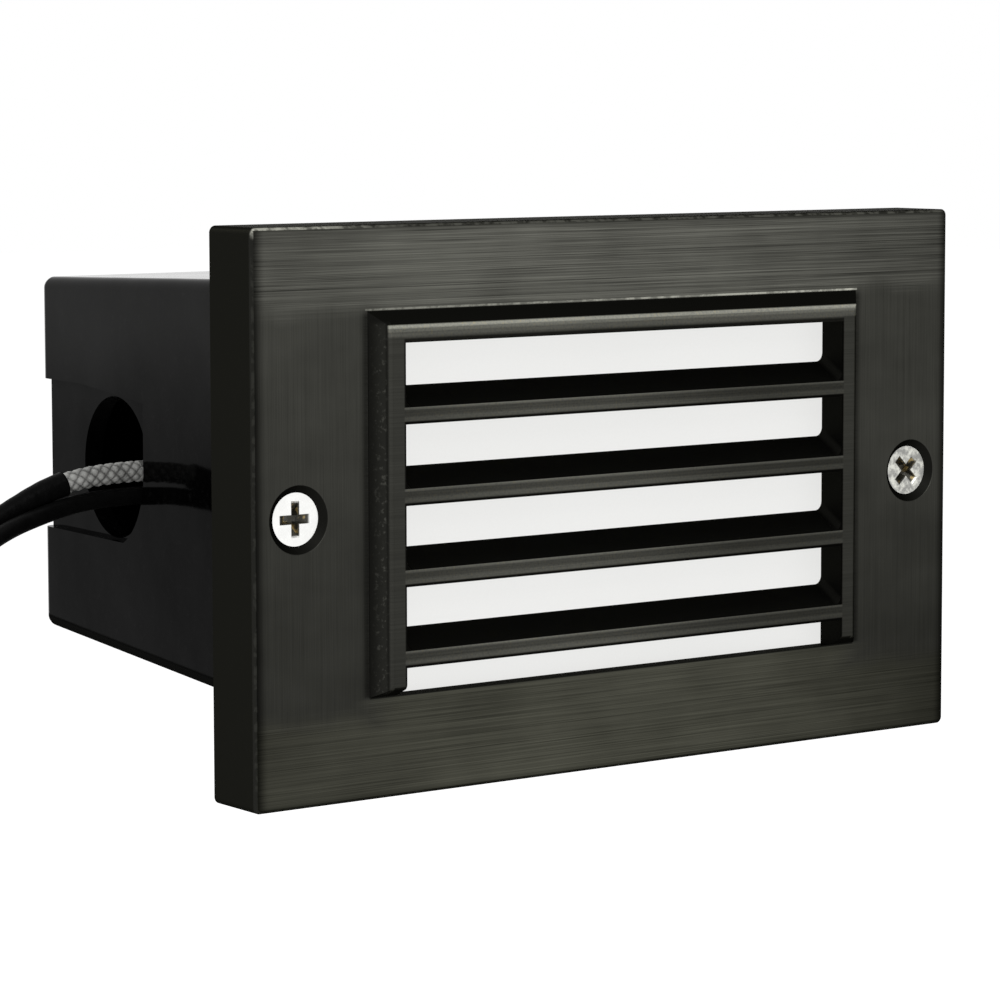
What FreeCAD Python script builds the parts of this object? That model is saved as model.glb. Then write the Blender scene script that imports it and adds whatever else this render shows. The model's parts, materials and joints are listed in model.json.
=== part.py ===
import FreeCAD, Part
import math
import os

V = FreeCAD.Vector

# A recessed step light. X runs to the right of a person who faces it, Y runs into the wall
# and Z runs up. The origin lies on the wall's surface, behind the middle of the face plate.
# Every size is in millimetres.

# ------------------------------------------------------------------ face plate, a casting
PLATE_W = 130.0
PLATE_H = 82.0
PLATE_DEPTH = 10.8
PLATE_WALL = 3.0
SKIRT_WALL = 2.6
PLATE_CORNER = 1.0
PLATE_EDGE = 0.5
POCKET_CORNER = 2.0

# ------------------------------------------------------------------ louvres in the plate
WINDOW_W = 81.8
WINDOW_TOP = 24.3
WINDOW_BOTTOM = -26.3
SLOT_HEIGHT = 9.2
SLOT_CORNER = 1.2
SLAT_FACE = 2.4
SLATS = 4
SLAT_ANGLE = 30.0
SURROUND_RAISE = 2.6
SURROUND_SIDE = 2.7
SURROUND_TOP = 2.35
SURROUND_BEVEL = 2.2
JAMB_FOOT_BEVEL = 1.3
SURROUND_EDGE = 0.9

# ------------------------------------------------------------------ lens and its seal
LENS_POCKET = 0.8
LENS_THICK = 3.0
LENS_LAP = 3.3
LENS_LAP_ABOVE = 1.65
LENS_CLEAR = 0.2
SEAL_WIDTH = 2.0
SEAL_LAP = 1.6
SEAL_COVER = 0.8
SEAL_CHAMFER = 0.7

# ------------------------------------------------------------------ plate screws
SCREW_INSET = 7.6
SCREW_R = 2.0
SCREW_HEAD_R = 3.8
SCREW_REACH = 4.4
SCREW_SINK = 0.95
SCREW_TURNED = (0.0, 45.0)
CONE_CLEAR = 0.2
SCREW_HOLE_CLEAR = 0.25
PLATE_BOSS_R = 5.0
RECESS_R = 2.6
RECESS_WIDE = 1.35
RECESS_DEEP = 1.5
RECESS_TIP_R = 1.0
RECESS_TIP_WIDE = 0.85

# ------------------------------------------------------------------ gasket and its rib
RIB_INSET = 3.6
RIB_WIDE = 2.0
GASKET_THICK = 1.5
GASKET_MARGIN = 1.4
GASKET_EDGE = 0.6
GASKET_HOLE_CLEAR = 0.5

# ------------------------------------------------------------------ housing, a moulding
HOUSING_W = 104.0
HOUSING_H = 63.4
HOUSING_RISE = 1.2
HOUSING_DEPTH = 81.6
HOUSING_WALL = 3.0
SIDE_DRAFT = 4.0
TOP_DRAFT = 1.9
BOTTOM_DRAFT = 3.0
LONG_EDGE_R = 1.8
REAR_EDGE_R = 1.3
INNER_EDGE_R = 1.2
REAR_STEPS = 3
FLANGE_THICK = 3.0
FLANGE_CLEAR = 0.8
FLANGE_CORNER = 2.0
INSERT_BOSS_R = 4.2
INSERT_BOSS_LONG = 5.0
INSERT_R = 2.9
INSERT_BORE_CLEAR = 0.12

# ------------------------------------------------------------------ wire entry in the side
ENTRY_R = 11.1
ENTRY_Y = 58.6
ENTRY_Z = 1.3
PAD_SUNK = 1.6
PAD_ABOVE = 1.5
PAD_FALL = 1.7
PAD_CREST = 9.4
PAD_BEFORE = 1.4
PAD_BELOW = 0.2
ENTRY_WALL = 3.0
ENTRY_BOSS_R = 14.5
CUT_PAST = 8.0

# ------------------------------------------------------------------ reflector, bent sheet
SHEET = 0.8
REFLECTOR_SIDE_GAP = 6.0
REFLECTOR_Y = 38.0
REFLECTOR_MOUTH_Y = 3.0
REFLECTOR_TOP_GAP = 2.8
REFLECTOR_FLARE = 7.0
REFLECTOR_BEND_R = 2.0
POST_INSET = 12.0
POST_RISE = 10.4
POST_R = 3.6
POST_PILOT_R = 1.3
POST_PILOT_DEEP = 10.0
POST_ROOTED = 1.5
PAN_HEAD_R = 2.9
PAN_HEAD_THICK = 2.0
SHEET_SCREW_R = 1.25
SHEET_SCREW_LONG = 9.0
SHEET_HOLE_CLEAR = 0.35

# ------------------------------------------------------------------ lamp holder
LAMP_Y = 26.0
PIN_PITCH = 4.0
SOCKET_X = 13.0
SOCKET_LONG = 13.0
SOCKET_DEEP = 10.0
SOCKET_WIDE = 18.5
SOCKET_EDGE_R = 1.5
PIN_HOLE_R = 0.8
PIN_HOLE_LONG = 7.8
CONTACT_DEEP = 2.4
CONTACT_WIDE = 3.0
HOLDER_SCREW_X = 6.6
HOLDER_SCREW_R = 1.2
HOLDER_SCREW_CLEAR = 0.2
HOLDER_HEAD_R = 2.2
HOLDER_HEAD_THICK = 1.7
HOLDER_NUT_R = 2.7
HOLDER_NUT_THICK = 1.8
HOLDER_TAIL = 0.7
BRACKET_SHEET = 1.0
BRACKET_FOOT_BACK = 1.0
BRACKET_TIP = 1.0
BRACKET_SLOT_DEEP = 5.0
BRACKET_SLOT_WIDE = 8.4
RIVET_X = 18.5
RIVET_SPREAD = 4.5
RIVET_R = 1.5
RIVET_HEAD_R = 2.6
RIVET_HEAD_THICK = 1.1
RIVET_TAIL_R = 2.3

# ------------------------------------------------------------------ lamp
BULB_R = 4.75
BULB_WALL = 0.8
BULB_SHOULDER = 2.8
BULB_LONG = 22.0
PINCH_LONG = 8.0
PINCH_WIDE = 8.0
PINCH_THICK = 3.4
PIN_R = 0.4
PIN_LONG = 8.2
LAMP_GAP = 0.3
FILAMENT_R = 0.6
FILAMENT_LONG = 3.0
FILAMENT_WIRE_R = 0.3
FILAMENT_BACK = 11.0

# ------------------------------------------------------------------ leads
SLEEVE_R = 1.65
SHRINK_R = 2.0
LEAD_R = 1.4
CONDUCTOR_R = 0.7
CONDUCTOR_LONG = 9.0
GROMMET_X = 34.5
GROMMET_BORE_R = 4.1
GROMMET_R = 6.4
GROMMET_THICK = 3.2
GROMMET_GROOVE_R = 5.0
ARC_SHARE = 0.45
TUBE_SIDES = 8
EXIT_GAP = 0.1

# ------------------------------------------------------------------ places worked out
CENTRE_Z = HOUSING_RISE
SCREW_X = PLATE_W / 2 - SCREW_INSET
PLATE_BACK_Y = PLATE_WALL - PLATE_DEPTH
SURROUND_Y = -PLATE_DEPTH - SURROUND_RAISE
LENS_Y = PLATE_BACK_Y - LENS_POCKET
SLAT_SLOPE = math.tan(math.radians(SLAT_ANGLE))
SLAT_RISE = (LENS_Y - SURROUND_Y) * SLAT_SLOPE
LENS_BOX = (
    -WINDOW_W / 2 - LENS_LAP,
    WINDOW_W / 2 + LENS_LAP,
    WINDOW_BOTTOM - LENS_LAP,
    WINDOW_TOP + SLAT_RISE + LENS_LAP_ABOVE,
)
POCKET_X = PLATE_W / 2 - SKIRT_WALL
POCKET_Z = PLATE_H / 2 - SKIRT_WALL
GASKET_Y = -FLANGE_THICK - GASKET_THICK
RIB_X = POCKET_X - RIB_INSET
RIB_Z = POCKET_Z - RIB_INSET
FLANGE_X = POCKET_X - FLANGE_CLEAR
FLANGE_Z = POCKET_Z - FLANGE_CLEAR
CAVITY_Y = HOUSING_DEPTH - HOUSING_WALL
REFLECTOR_W = HOUSING_W - 2 * HOUSING_WALL - 2 * REFLECTOR_SIDE_GAP
REFLECTOR_MOUTH_H = HOUSING_H - 2 * HOUSING_WALL - 2 * REFLECTOR_TOP_GAP
REFLECTOR_BACK_H = REFLECTOR_MOUTH_H - 2 * REFLECTOR_FLARE
POST_X = REFLECTOR_W / 2 - POST_INSET
REFLECTOR_BACK_Y = REFLECTOR_Y + SHEET
HEAD_Y = SCREW_SINK - PLATE_DEPTH
SOCKET_BACK_X = SOCKET_X + SOCKET_LONG
PINCH_X = SOCKET_X - LAMP_GAP

# An edge runs along an axis when this much of its length does.
MOSTLY = 0.8

# A direction that no lead runs along, from which a tube's corners are set out.
ASLANT = V(0.3, 0.2, 1)

# The way the left wall leans, and its outward direction.
LEAN = math.radians(SIDE_DRAFT)
WALL_OUT = V(-math.cos(LEAN), math.sin(LEAN), 0)


# ------------------------------------------------------------------ shapes used often
def box(x0, x1, y0, y1, z0, z1):
    return Part.makeBox(x1 - x0, y1 - y0, z1 - z0, V(x0, y0, z0))


def along_y(radius, x, z, y0, y1):
    return Part.makeCylinder(radius, y1 - y0, V(x, y0, z), V(0, 1, 0))


def along_x(radius, y, z, x0, x1):
    return Part.makeCylinder(radius, x1 - x0, V(x0, y, z), V(1, 0, 0))


def rectangle(y, x0, x1, z0, z1):
    """A closed rectangle that faces along Y."""
    corners = [V(x0, y, z0), V(x1, y, z0), V(x1, y, z1), V(x0, y, z1)]
    return Part.makePolygon(corners + corners[:1])


def tapered_block(y0, near, y1, far):
    """A block whose rectangle (x0, x1, z0, z1) changes from near at y0 to far at y1."""
    return Part.makeLoft([rectangle(y0, *near), rectangle(y1, *far)], True, True)


def rounded_outline(y, sides, radius):
    """A closed rectangle that faces along Y, with a quarter circle at each corner."""
    x0, x1, z0, z1 = sides
    middles = [
        (x1 - radius, z1 - radius),
        (x0 + radius, z1 - radius),
        (x0 + radius, z0 + radius),
        (x1 - radius, z0 + radius),
    ]
    arcs = []
    for k, (x, z) in enumerate(middles):
        turns = [math.radians(90 * k + half) for half in (0, 45, 90)]
        arcs.append([V(x + radius * math.cos(a), y, z + radius * math.sin(a)) for a in turns])
    edges = []
    for arc, after in zip(arcs, arcs[1:] + arcs[:1]):
        edges.append(Part.Arc(*arc).toShape())
        edges.append(Part.LineSegment(arc[-1], after[0]).toShape())
    return Part.Wire(edges)


def edges_along(shape, axis):
    """The straight edges that run mostly along one axis: 0 is X, 1 is Y and 2 is Z."""
    found = []
    for edge in shape.Edges:
        way = edge.Vertexes[-1].Point - edge.Vertexes[0].Point
        if way.Length > 1e-6 and abs(way[axis]) > MOSTLY * way.Length:
            found.append(edge)
    return found


def edges_at_y(shape, y):
    return [e for e in shape.Edges if all(abs(v.Point.y - y) < 1e-6 for v in e.Vertexes)]


def rounded_block(radius, *sides):
    block = box(*sides)
    return block.makeFillet(radius, edges_along(block, 1))


def frame_ring(half_x, half_z, wide, y0, y1):
    outer = box(-half_x, half_x, y0, y1, -half_z, half_z)
    inner = box(wide - half_x, half_x - wide, y0, y1, wide - half_z, half_z - wide)
    return outer.cut(inner)


def route_pieces(points):
    """The straight part of each run, and the arc that rounds each corner between runs."""
    runs = [b - a for a, b in zip(points, points[1:])]
    ends = [[a, b] for a, b in zip(points, points[1:])]
    arcs, radii = [], []
    for i in range(1, len(points) - 1):
        before, after = runs[i - 1], runs[i]
        reach = ARC_SHARE * min(before.Length, after.Length)
        half_turn = before.getAngle(after) / 2
        radius = reach / math.tan(half_turn)
        start = points[i] - before.normalize() * reach
        end = points[i] + V(after).normalize() * reach
        inward = (start + end) * 0.5 - points[i]
        centre_gap = radius / math.cos(half_turn) - radius
        middle = points[i] + inward.normalize() * centre_gap
        ends[i - 1][1] = start
        ends[i][0] = end
        arcs.append(Part.Arc(start, middle, end).toShape())
        radii.append(radius)
    return ends, arcs, radii


def tube(points, radius, first=0, last=None):
    """A many-sided tube along the route, from the middle of run first to the middle of run last.

    With first at 0 it starts at the route's start, and with no last it ends at its end.
    """
    ends, arcs, _ = route_pieces([V(*p) for p in points])
    stop = len(ends) - 1 if last is None else last
    if first > 0:
        ends[first][0] = (ends[first][0] + ends[first][1]) * 0.5
    if last is not None:
        ends[last][1] = (ends[last][0] + ends[last][1]) * 0.5
    edges = []
    for i in range(first, stop + 1):
        edges.append(Part.LineSegment(*ends[i]).toShape())
        if i < stop:
            edges.append(arcs[i])
    path = Part.Wire(edges)
    way = ends[first][1] - ends[first][0]
    solid = path.makePipeShell([round_section(radius, ends[first][0], way)], True, False)
    share = solid.Volume / (math.pi * radius**2 * path.Length)
    return solid, path.Length, share


def round_section(radius, centre, way):
    """A regular outline across the way, with as much area as a circle of that radius."""
    turn = 2 * math.pi / TUBE_SIDES
    corner_r = radius * math.sqrt(turn / math.sin(turn))
    side = way.cross(ASLANT).normalize() * corner_r
    up = V(way).normalize().cross(side)
    corners = []
    for k in range(TUBE_SIDES):
        corners.append(centre + side * math.cos(turn * k) + up * math.sin(turn * k))
    return Part.makePolygon(corners + corners[:1])


# ------------------------------------------------------------------ face plate
def louvre_slots():
    """The sloping slots, round at their lower corners; the lowest one has a flat sill too."""
    pitch = SLOT_HEIGHT + SLAT_FACE
    floor = WINDOW_BOTTOM - SURROUND_RAISE * SLAT_SLOPE
    push = V(0, PLATE_DEPTH, PLATE_DEPTH * SLAT_SLOPE)
    slots = []
    for i in range(SLATS + 1):
        top = WINDOW_TOP - i * pitch
        bottom = max(top - SLOT_HEIGHT, floor)
        face = Part.Face(rectangle(SURROUND_Y, -WINDOW_W / 2, WINDOW_W / 2, bottom, top))
        slot = face.extrude(push)
        low = [e for e in edges_along(slot, 1) if e.BoundBox.ZMin < bottom + 1e-6]
        slots.append(slot.makeFillet(SLOT_CORNER, low))
    half = WINDOW_W / 2
    sill = box(-half, half, SURROUND_Y, LENS_Y, WINDOW_BOTTOM, top)
    slots[-1] = slots[-1].fuse(sill).removeSplitter()
    return slots


def louvre_surround():
    """The raised frame round the slots, with mitred bevels and short bevels at its feet."""
    face = (
        -WINDOW_W / 2 - SURROUND_SIDE,
        WINDOW_W / 2 + SURROUND_SIDE,
        WINDOW_BOTTOM + JAMB_FOOT_BEVEL,
        WINDOW_TOP + SURROUND_TOP,
    )
    foot = (
        face[0] - SURROUND_BEVEL,
        face[1] + SURROUND_BEVEL,
        WINDOW_BOTTOM,
        face[3] + SURROUND_BEVEL,
    )
    block = tapered_block(SURROUND_Y, face, -PLATE_DEPTH, foot)
    return block.makeFillet(SURROUND_EDGE, edges_at_y(block, SURROUND_Y))


def face_plate():
    half_x, half_z = PLATE_W / 2, PLATE_H / 2
    plate = rounded_block(PLATE_CORNER, -half_x, half_x, -PLATE_DEPTH, 0, -half_z, half_z)
    plate = plate.makeChamfer(PLATE_EDGE, edges_at_y(plate, -PLATE_DEPTH))
    plate = plate.cut(
        rounded_block(
            POCKET_CORNER, -POCKET_X, POCKET_X, PLATE_BACK_Y, CUT_PAST, -POCKET_Z, POCKET_Z
        )
    )
    plate = plate.fuse(frame_ring(RIB_X, RIB_Z, RIB_WIDE, PLATE_BACK_Y, GASKET_Y))
    plate = plate.fuse(louvre_surround())
    x0, x1, z0, z1 = LENS_BOX
    plate = plate.cut(box(x0, x1, LENS_Y, PLATE_BACK_Y, z0, z1))
    for side in (-1, 1):
        boss = along_y(PLATE_BOSS_R, side * SCREW_X, 0, PLATE_BACK_Y, GASKET_Y)
        plate = plate.fuse(boss)
    for slot in louvre_slots():
        plate = plate.cut(slot)
    for side in (-1, 1):
        plate = plate.cut(screw_way(side * SCREW_X))
    return plate.removeSplitter()


def screw_way(x):
    """The hole and the countersink that a plate screw passes through."""
    hole_r = SCREW_R + SCREW_HOLE_CLEAR
    mouth_r = SCREW_HEAD_R + SCREW_SINK + CONE_CLEAR
    cone = Part.makeCone(
        mouth_r, hole_r, mouth_r - hole_r, V(x, -PLATE_DEPTH, 0), V(0, 1, 0)
    )
    return cone.fuse(along_y(hole_r, x, 0, -PLATE_DEPTH, 0))


def plate_screw(side, turned):
    """A countersunk screw with a cross recess, turned by so many degrees."""
    x = side * SCREW_X
    cone_long = SCREW_HEAD_R - SCREW_R
    head = Part.makeCone(SCREW_HEAD_R, SCREW_R, cone_long, V(x, HEAD_Y, 0), V(0, 1, 0))
    screw = head.fuse(along_y(SCREW_R, x, 0, HEAD_Y + cone_long, SCREW_REACH))
    half = RECESS_WIDE / 2
    near = (x - RECESS_R, x + RECESS_R, -half, half)
    tip = RECESS_TIP_WIDE / 2
    far = (x - RECESS_TIP_R, x + RECESS_TIP_R, -tip, tip)
    for angle in (turned, turned + 90):
        blade = tapered_block(HEAD_Y, near, HEAD_Y + RECESS_DEEP, far)
        blade.rotate(V(x, 0, 0), V(0, 1, 0), angle)
        screw = screw.cut(blade)
    return screw


def lens():
    x0, x1, z0, z1 = LENS_BOX
    c = LENS_CLEAR
    return box(x0 + c, x1 - c, LENS_Y, LENS_Y + LENS_THICK, z0 + c, z1 - c)


def lens_seal():
    """The bead round the lens, which laps over the edge of its back."""
    x0, x1, z0, z1 = LENS_BOX
    w, lap = SEAL_WIDTH, SEAL_LAP
    back = LENS_Y + LENS_THICK + SEAL_COVER
    bead = box(x0 - w, x1 + w, PLATE_BACK_Y, back, z0 - w, z1 + w)
    bead = bead.makeChamfer(SEAL_CHAMFER, edges_at_y(bead, back))
    bead = bead.cut(lens())
    return bead.cut(box(x0 + lap, x1 - lap, PLATE_BACK_Y, back, z0 + lap, z1 - lap))


def plate_gasket():
    half_x, half_z = FLANGE_X - GASKET_EDGE, FLANGE_Z - GASKET_EDGE
    wide = half_x - (RIB_X - RIB_WIDE - GASKET_MARGIN)
    gasket = frame_ring(half_x, half_z, wide, GASKET_Y, -FLANGE_THICK)
    for side in (-1, 1):
        hole_r = SCREW_R + GASKET_HOLE_CLEAR
        gasket = gasket.cut(along_y(hole_r, side * SCREW_X, 0, GASKET_Y, 0))
    return gasket


# ------------------------------------------------------------------ housing
def housing_section(y, inset):
    """The housing's rectangle at depth y, drawn in by inset on every side."""
    side = HOUSING_W / 2 - y * math.tan(LEAN) - inset
    top = CENTRE_Z + HOUSING_H / 2 - y * math.tan(math.radians(TOP_DRAFT)) - inset
    bottom = CENTRE_Z - HOUSING_H / 2 + y * math.tan(math.radians(BOTTOM_DRAFT)) + inset
    return (-side, side, bottom, top)


def wall_point(y, z, sunk):
    """A point that lies so far inside the left wall's outer face, beside depth y."""
    return V(y * math.tan(LEAN) - HOUSING_W / 2, y, z) - WALL_OUT * sunk


def housing_outside():
    """The drafted outside, whose rear edge is rounded off in a few short steps."""
    outlines = [rounded_outline(0, housing_section(0, 0), LONG_EDGE_R)]
    for step in range(REAR_STEPS + 1):
        turn = math.pi / 2 * step / REAR_STEPS
        y = HOUSING_DEPTH - REAR_EDGE_R * (1 - math.sin(turn))
        inset = REAR_EDGE_R * (1 - math.cos(turn))
        outlines.append(rounded_outline(y, housing_section(y, inset), LONG_EDGE_R - inset))
    return Part.makeLoft(outlines, True, True)


def housing_shell():
    flange = rounded_block(
        FLANGE_CORNER, -FLANGE_X, FLANGE_X, -FLANGE_THICK, 0, -FLANGE_Z, FLANGE_Z
    )
    ends = [
        rounded_outline(y, housing_section(y, HOUSING_WALL), INNER_EDGE_R)
        for y in (-FLANGE_THICK, CAVITY_Y)
    ]
    return housing_outside().fuse(flange).cut(Part.makeLoft(ends, True, True))


def entry_pad():
    """The flat recess round the wire entry: open at the rear, round below, falling in front."""
    top = ENTRY_Z + ENTRY_R + PAD_ABOVE
    bottom = ENTRY_Z - ENTRY_R - PAD_BELOW
    bend_r = ENTRY_R + PAD_BEFORE
    low = math.asin((ENTRY_Z - bottom) / bend_r)
    bend = [(ENTRY_Y - bend_r * math.cos(a), ENTRY_Z - bend_r * math.sin(a)) for a in (0, low / 2, low)]
    far = HOUSING_DEPTH + CUT_PAST
    outline = [(far, bottom), (far, top), (ENTRY_Y + PAD_CREST, top), (ENTRY_Y - bend_r, top - PAD_FALL)]
    corners = [wall_point(y, z, PAD_SUNK) for y, z in outline]
    front = [wall_point(y, z, PAD_SUNK) for y, z in bend]
    edges = [Part.LineSegment(a, b).toShape() for a, b in zip(corners, corners[1:] + front[:1])]
    edges.append(Part.Arc(*front).toShape())
    edges.append(Part.LineSegment(front[-1], corners[0]).toShape())
    return Part.Face(Part.Wire(edges)).extrude(WALL_OUT * CUT_PAST)


def housing():
    body = housing_shell()
    inside = wall_point(ENTRY_Y, ENTRY_Z, PAD_SUNK + ENTRY_WALL)
    boss_long = PAD_SUNK + ENTRY_WALL - HOUSING_WALL / 2
    body = body.fuse(Part.makeCylinder(ENTRY_BOSS_R, boss_long, inside, WALL_OUT))
    body = body.cut(entry_pad())
    start = wall_point(ENTRY_Y, ENTRY_Z, PAD_SUNK + ENTRY_WALL + CUT_PAST)
    body = body.cut(Part.makeCylinder(ENTRY_R, ENTRY_WALL + 2 * CUT_PAST, start, WALL_OUT))
    for side in (-1, 1):
        x = side * SCREW_X
        body = body.fuse(along_y(INSERT_BOSS_R, x, 0, -FLANGE_THICK / 2, INSERT_BOSS_LONG))
        body = body.cut(along_y(INSERT_R, x, 0, -FLANGE_THICK, INSERT_BOSS_LONG))
        body = body.fuse(reflector_post(side))
        body = body.cut(post_pilot(side))
    return body.removeSplitter()


def reflector_post(side):
    """A post that rises from the rear wall and carries the reflector."""
    return along_y(
        POST_R, side * POST_X, CENTRE_Z + POST_RISE, REFLECTOR_BACK_Y, CAVITY_Y + POST_ROOTED
    )


def post_pilot(side):
    y = REFLECTOR_BACK_Y
    return along_y(POST_PILOT_R, side * POST_X, CENTRE_Z + POST_RISE, y, y + POST_PILOT_DEEP)


def threaded_inserts():
    inserts = []
    for side in (-1, 1):
        x = side * SCREW_X
        insert = along_y(INSERT_R, x, 0, -FLANGE_THICK, INSERT_BOSS_LONG)
        bore = along_y(SCREW_R + INSERT_BORE_CLEAR, x, 0, -FLANGE_THICK, INSERT_BOSS_LONG)
        inserts.append(insert.cut(bore))
    return Part.makeCompound(inserts)


# ------------------------------------------------------------------ reflector
def reflector():
    """A strip of sheet bent into a trough that opens towards the lens."""
    back, mouth = REFLECTOR_BACK_H / 2, REFLECTOR_MOUTH_H / 2
    y0, y1 = REFLECTOR_MOUTH_Y, REFLECTOR_Y
    wing = math.atan2(mouth - back, y1 - y0)
    skew = SHEET / math.cos(wing)
    inner_back = back + SHEET * math.tan(math.pi / 4 - wing / 2)
    outline = [
        (y0, mouth),
        (y1, back),
        (y1, -back),
        (y0, -mouth),
        (y0, -mouth - skew),
        (y1 + SHEET, -inner_back - (skew - SHEET)),
        (y1 + SHEET, inner_back + (skew - SHEET)),
        (y0, mouth + skew),
    ]
    corners = [V(-REFLECTOR_W / 2, y, CENTRE_Z + z) for y, z in outline]
    trough = Part.Face(Part.makePolygon(corners + corners[:1])).extrude(V(REFLECTOR_W, 0, 0))
    bends = [e for e in edges_along(trough, 0) if abs(e.Vertexes[0].Point.y - y1) < 1e-6]
    trough = trough.makeFillet(REFLECTOR_BEND_R, bends)
    outside = [
        e for e in edges_along(trough, 0) if abs(e.Vertexes[0].Point.y - y1 - SHEET) < 1e-6
    ]
    trough = trough.makeFillet(REFLECTOR_BEND_R + SHEET, outside)
    trough = trough.cut(along_y(GROMMET_GROOVE_R, GROMMET_X, CENTRE_Z, y1, y1 + SHEET))
    for side in (-1, 1):
        hole_r = SHEET_SCREW_R + SHEET_HOLE_CLEAR
        z = CENTRE_Z + POST_RISE
        trough = trough.cut(along_y(hole_r, side * POST_X, z, y1, y1 + SHEET))
        z = CENTRE_Z + side * RIVET_SPREAD
        trough = trough.cut(along_y(RIVET_R, RIVET_X, z, y1, y1 + SHEET))
    return trough


def reflector_screws():
    screws = []
    for side in (-1, 1):
        x, z = side * POST_X, CENTRE_Z + POST_RISE
        head = along_y(PAN_HEAD_R, x, z, REFLECTOR_Y - PAN_HEAD_THICK, REFLECTOR_Y)
        shank = along_y(SHEET_SCREW_R, x, z, REFLECTOR_Y, REFLECTOR_Y + SHEET_SCREW_LONG)
        screws.append(head.fuse(shank))
    return Part.makeCompound(screws)


# ------------------------------------------------------------------ lamp holder
def socket_bracket():
    """An angle of sheet: one leg lies on the reflector and the other stands behind the socket."""
    half = SOCKET_WIDE / 2
    x0, x1 = SOCKET_BACK_X, SOCKET_BACK_X + BRACKET_SHEET
    front = LAMP_Y - SOCKET_DEEP / 2 - BRACKET_TIP
    upright = box(x0, x1, front, REFLECTOR_Y, CENTRE_Z - half, CENTRE_Z + half)
    foot_y = REFLECTOR_Y - BRACKET_SHEET
    foot = box(SOCKET_X + BRACKET_FOOT_BACK, x1, foot_y, REFLECTOR_Y, CENTRE_Z - half, CENTRE_Z + half)
    angle = upright.fuse(foot).removeSplitter()
    slot_y, slot_z = BRACKET_SLOT_DEEP / 2, BRACKET_SLOT_WIDE / 2
    slot = box(x0, x1, LAMP_Y - slot_y, LAMP_Y + slot_y, CENTRE_Z - slot_z, CENTRE_Z + slot_z)
    angle = angle.cut(slot)
    for side in (-1, 1):
        z = CENTRE_Z + side * HOLDER_SCREW_X
        angle = angle.cut(along_x(HOLDER_SCREW_R + HOLDER_SCREW_CLEAR, LAMP_Y, z, x0, x1))
        z = CENTRE_Z + side * RIVET_SPREAD
        angle = angle.cut(along_y(RIVET_R, RIVET_X, z, foot_y, REFLECTOR_Y))
    return angle


def bracket_rivets():
    rivets = []
    near, far = REFLECTOR_Y - BRACKET_SHEET, REFLECTOR_BACK_Y
    for side in (-1, 1):
        z = CENTRE_Z + side * RIVET_SPREAD
        head = along_y(RIVET_HEAD_R, RIVET_X, z, near - RIVET_HEAD_THICK, near)
        tail = along_y(RIVET_TAIL_R, RIVET_X, z, far, far + RIVET_HEAD_THICK)
        rivets.append(head.fuse(along_y(RIVET_R, RIVET_X, z, near, far)).fuse(tail))
    return Part.makeCompound(rivets)


def contact_boxes():
    """The two spring contacts at the end of the pin holes."""
    x0 = SOCKET_X + PIN_HOLE_LONG
    blocks = []
    for side in (-1, 1):
        z = CENTRE_Z + side * PIN_PITCH / 2
        y0, y1 = LAMP_Y - CONTACT_DEEP / 2, LAMP_Y + CONTACT_DEEP / 2
        blocks.append(box(x0, SOCKET_BACK_X, y0, y1, z - CONTACT_WIDE / 2, z + CONTACT_WIDE / 2))
    return blocks


def lamp_socket():
    half_y, half_z = SOCKET_DEEP / 2, SOCKET_WIDE / 2
    body = box(
        SOCKET_X, SOCKET_BACK_X, LAMP_Y - half_y, LAMP_Y + half_y, CENTRE_Z - half_z, CENTRE_Z + half_z
    )
    body = body.makeFillet(SOCKET_EDGE_R, edges_along(body, 0))
    for block in contact_boxes():
        body = body.cut(block)
    for side in (-1, 1):
        z = CENTRE_Z + side * PIN_PITCH / 2
        body = body.cut(along_x(PIN_HOLE_R, LAMP_Y, z, SOCKET_X, SOCKET_X + PIN_HOLE_LONG))
        z = CENTRE_Z + side * HOLDER_SCREW_X
        hole_r = HOLDER_SCREW_R + HOLDER_SCREW_CLEAR
        body = body.cut(along_x(hole_r, LAMP_Y, z, SOCKET_X, SOCKET_BACK_X))
    return body


def hexagon_nut(x0, x1, z):
    corners = []
    for k in range(7):
        angle = math.radians(60 * k)
        corners.append(
            V(x0, LAMP_Y + HOLDER_NUT_R * math.cos(angle), z + HOLDER_NUT_R * math.sin(angle))
        )
    nut = Part.Face(Part.makePolygon(corners)).extrude(V(x1 - x0, 0, 0))
    return nut.cut(along_x(HOLDER_SCREW_R, LAMP_Y, z, x0, x1))


def socket_screws():
    parts = []
    nut_x = SOCKET_BACK_X + BRACKET_SHEET
    for side in (-1, 1):
        z = CENTRE_Z + side * HOLDER_SCREW_X
        head = along_x(HOLDER_HEAD_R, LAMP_Y, z, SOCKET_X - HOLDER_HEAD_THICK, SOCKET_X)
        shank = along_x(HOLDER_SCREW_R, LAMP_Y, z, SOCKET_X, nut_x + HOLDER_NUT_THICK + HOLDER_TAIL)
        parts.append(head.fuse(shank))
        parts.append(hexagon_nut(nut_x, nut_x + HOLDER_NUT_THICK, z))
    return Part.makeCompound(parts)


# ------------------------------------------------------------------ lamp
def lamp_bulb():
    """A glass capsule, hollow, with a flat pinched end that the pins stand in."""
    neck_x = PINCH_X - PINCH_LONG
    tip_x = neck_x - BULB_LONG
    outer = capsule(BULB_R, neck_x, tip_x)
    half_z, half_y = PINCH_WIDE / 2, PINCH_THICK / 2
    pinch = box(
        neck_x - BULB_R, PINCH_X, LAMP_Y - half_y, LAMP_Y + half_y, CENTRE_Z - half_z, CENTRE_Z + half_z
    )
    hollow_r = BULB_R - BULB_WALL
    hollow = along_x(hollow_r, LAMP_Y, CENTRE_Z, tip_x + BULB_R, neck_x - BULB_SHOULDER)
    return outer.fuse(pinch).cut(hollow)


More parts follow.
